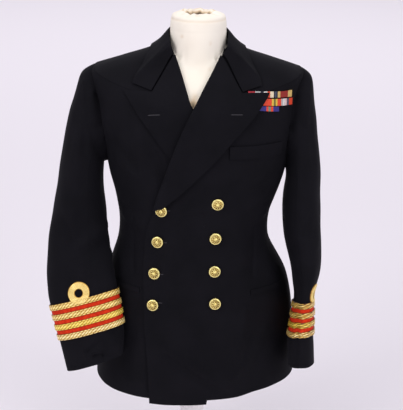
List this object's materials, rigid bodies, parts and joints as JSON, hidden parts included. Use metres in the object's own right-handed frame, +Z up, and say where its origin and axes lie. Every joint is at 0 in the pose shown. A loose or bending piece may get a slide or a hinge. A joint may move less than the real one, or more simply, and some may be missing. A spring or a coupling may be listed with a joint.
{
  "type": "naval officer jacket on a dress form",
  "caption": "Double-breasted uniform jacket with gold cuff lace, worn hollow over a limbless form on a pole and round base.",
  "frame": {"origin": "centre of the underside of the round base", "axes": "+Z up, the front of the jacket faces -Y, the wearer's left is +X"},
  "size_m": [0.5521, 0.3187, 0.997],
  "materials": {
    "navy_wool": "matte doeskin wool",
    "gold_lace": "metallic thread",
    "red_cloth": "matte felt",
    "gilt": "polished gilt",
    "ribbon": "ribbed silk",
    "form_cloth": "matte cotton cover",
    "stand": "satin"
  },
  "bodies": {
    "root": {"back_left": "navy_wool", "back_right": "navy_wool", "side_left": "navy_wool", "side_right": "navy_wool", "front_left": "navy_wool", "front_right": "navy_wool", "lapel_left": "navy_wool", "lapel_right": "navy_wool", "collar": "navy_wool", "top_sleeve_left": "navy_wool", "top_sleeve_right": "navy_wool", "under_sleeve_left": "navy_wool", "under_sleeve_right": "navy_wool", "breast_welt": "navy_wool", "hip_pocket_left": "navy_wool", "hip_pocket_right": "navy_wool", "ribbon_1": "ribbon", "ribbon_2": "ribbon", "ribbon_3": "ribbon", "button_right_1": "gilt", "button_right_2": "gilt", "button_right_3": "gilt", "button_right_4": "gilt", "button_left_1": "gilt", "button_left_2": "gilt", "button_left_3": "gilt", "button_left_4": "gilt", "cuff_cloth_left": "red_cloth", "cuff_cloth_right": "red_cloth", "lace_1_left": "gold_lace", "lace_2_left": "gold_lace", "lace_3_left": "gold_lace", "lace_4_left": "gold_lace", "lace_1_right": "gold_lace", "lace_2_right": "gold_lace", "lace_3_right": "gold_lace", "lace_4_right": "gold_lace", "curl_left": "gold_lace", "curl_right": "gold_lace", "form_torso": "form_cloth", "pole": "stand", "base": "stand"}
  },
  "joints": []
}
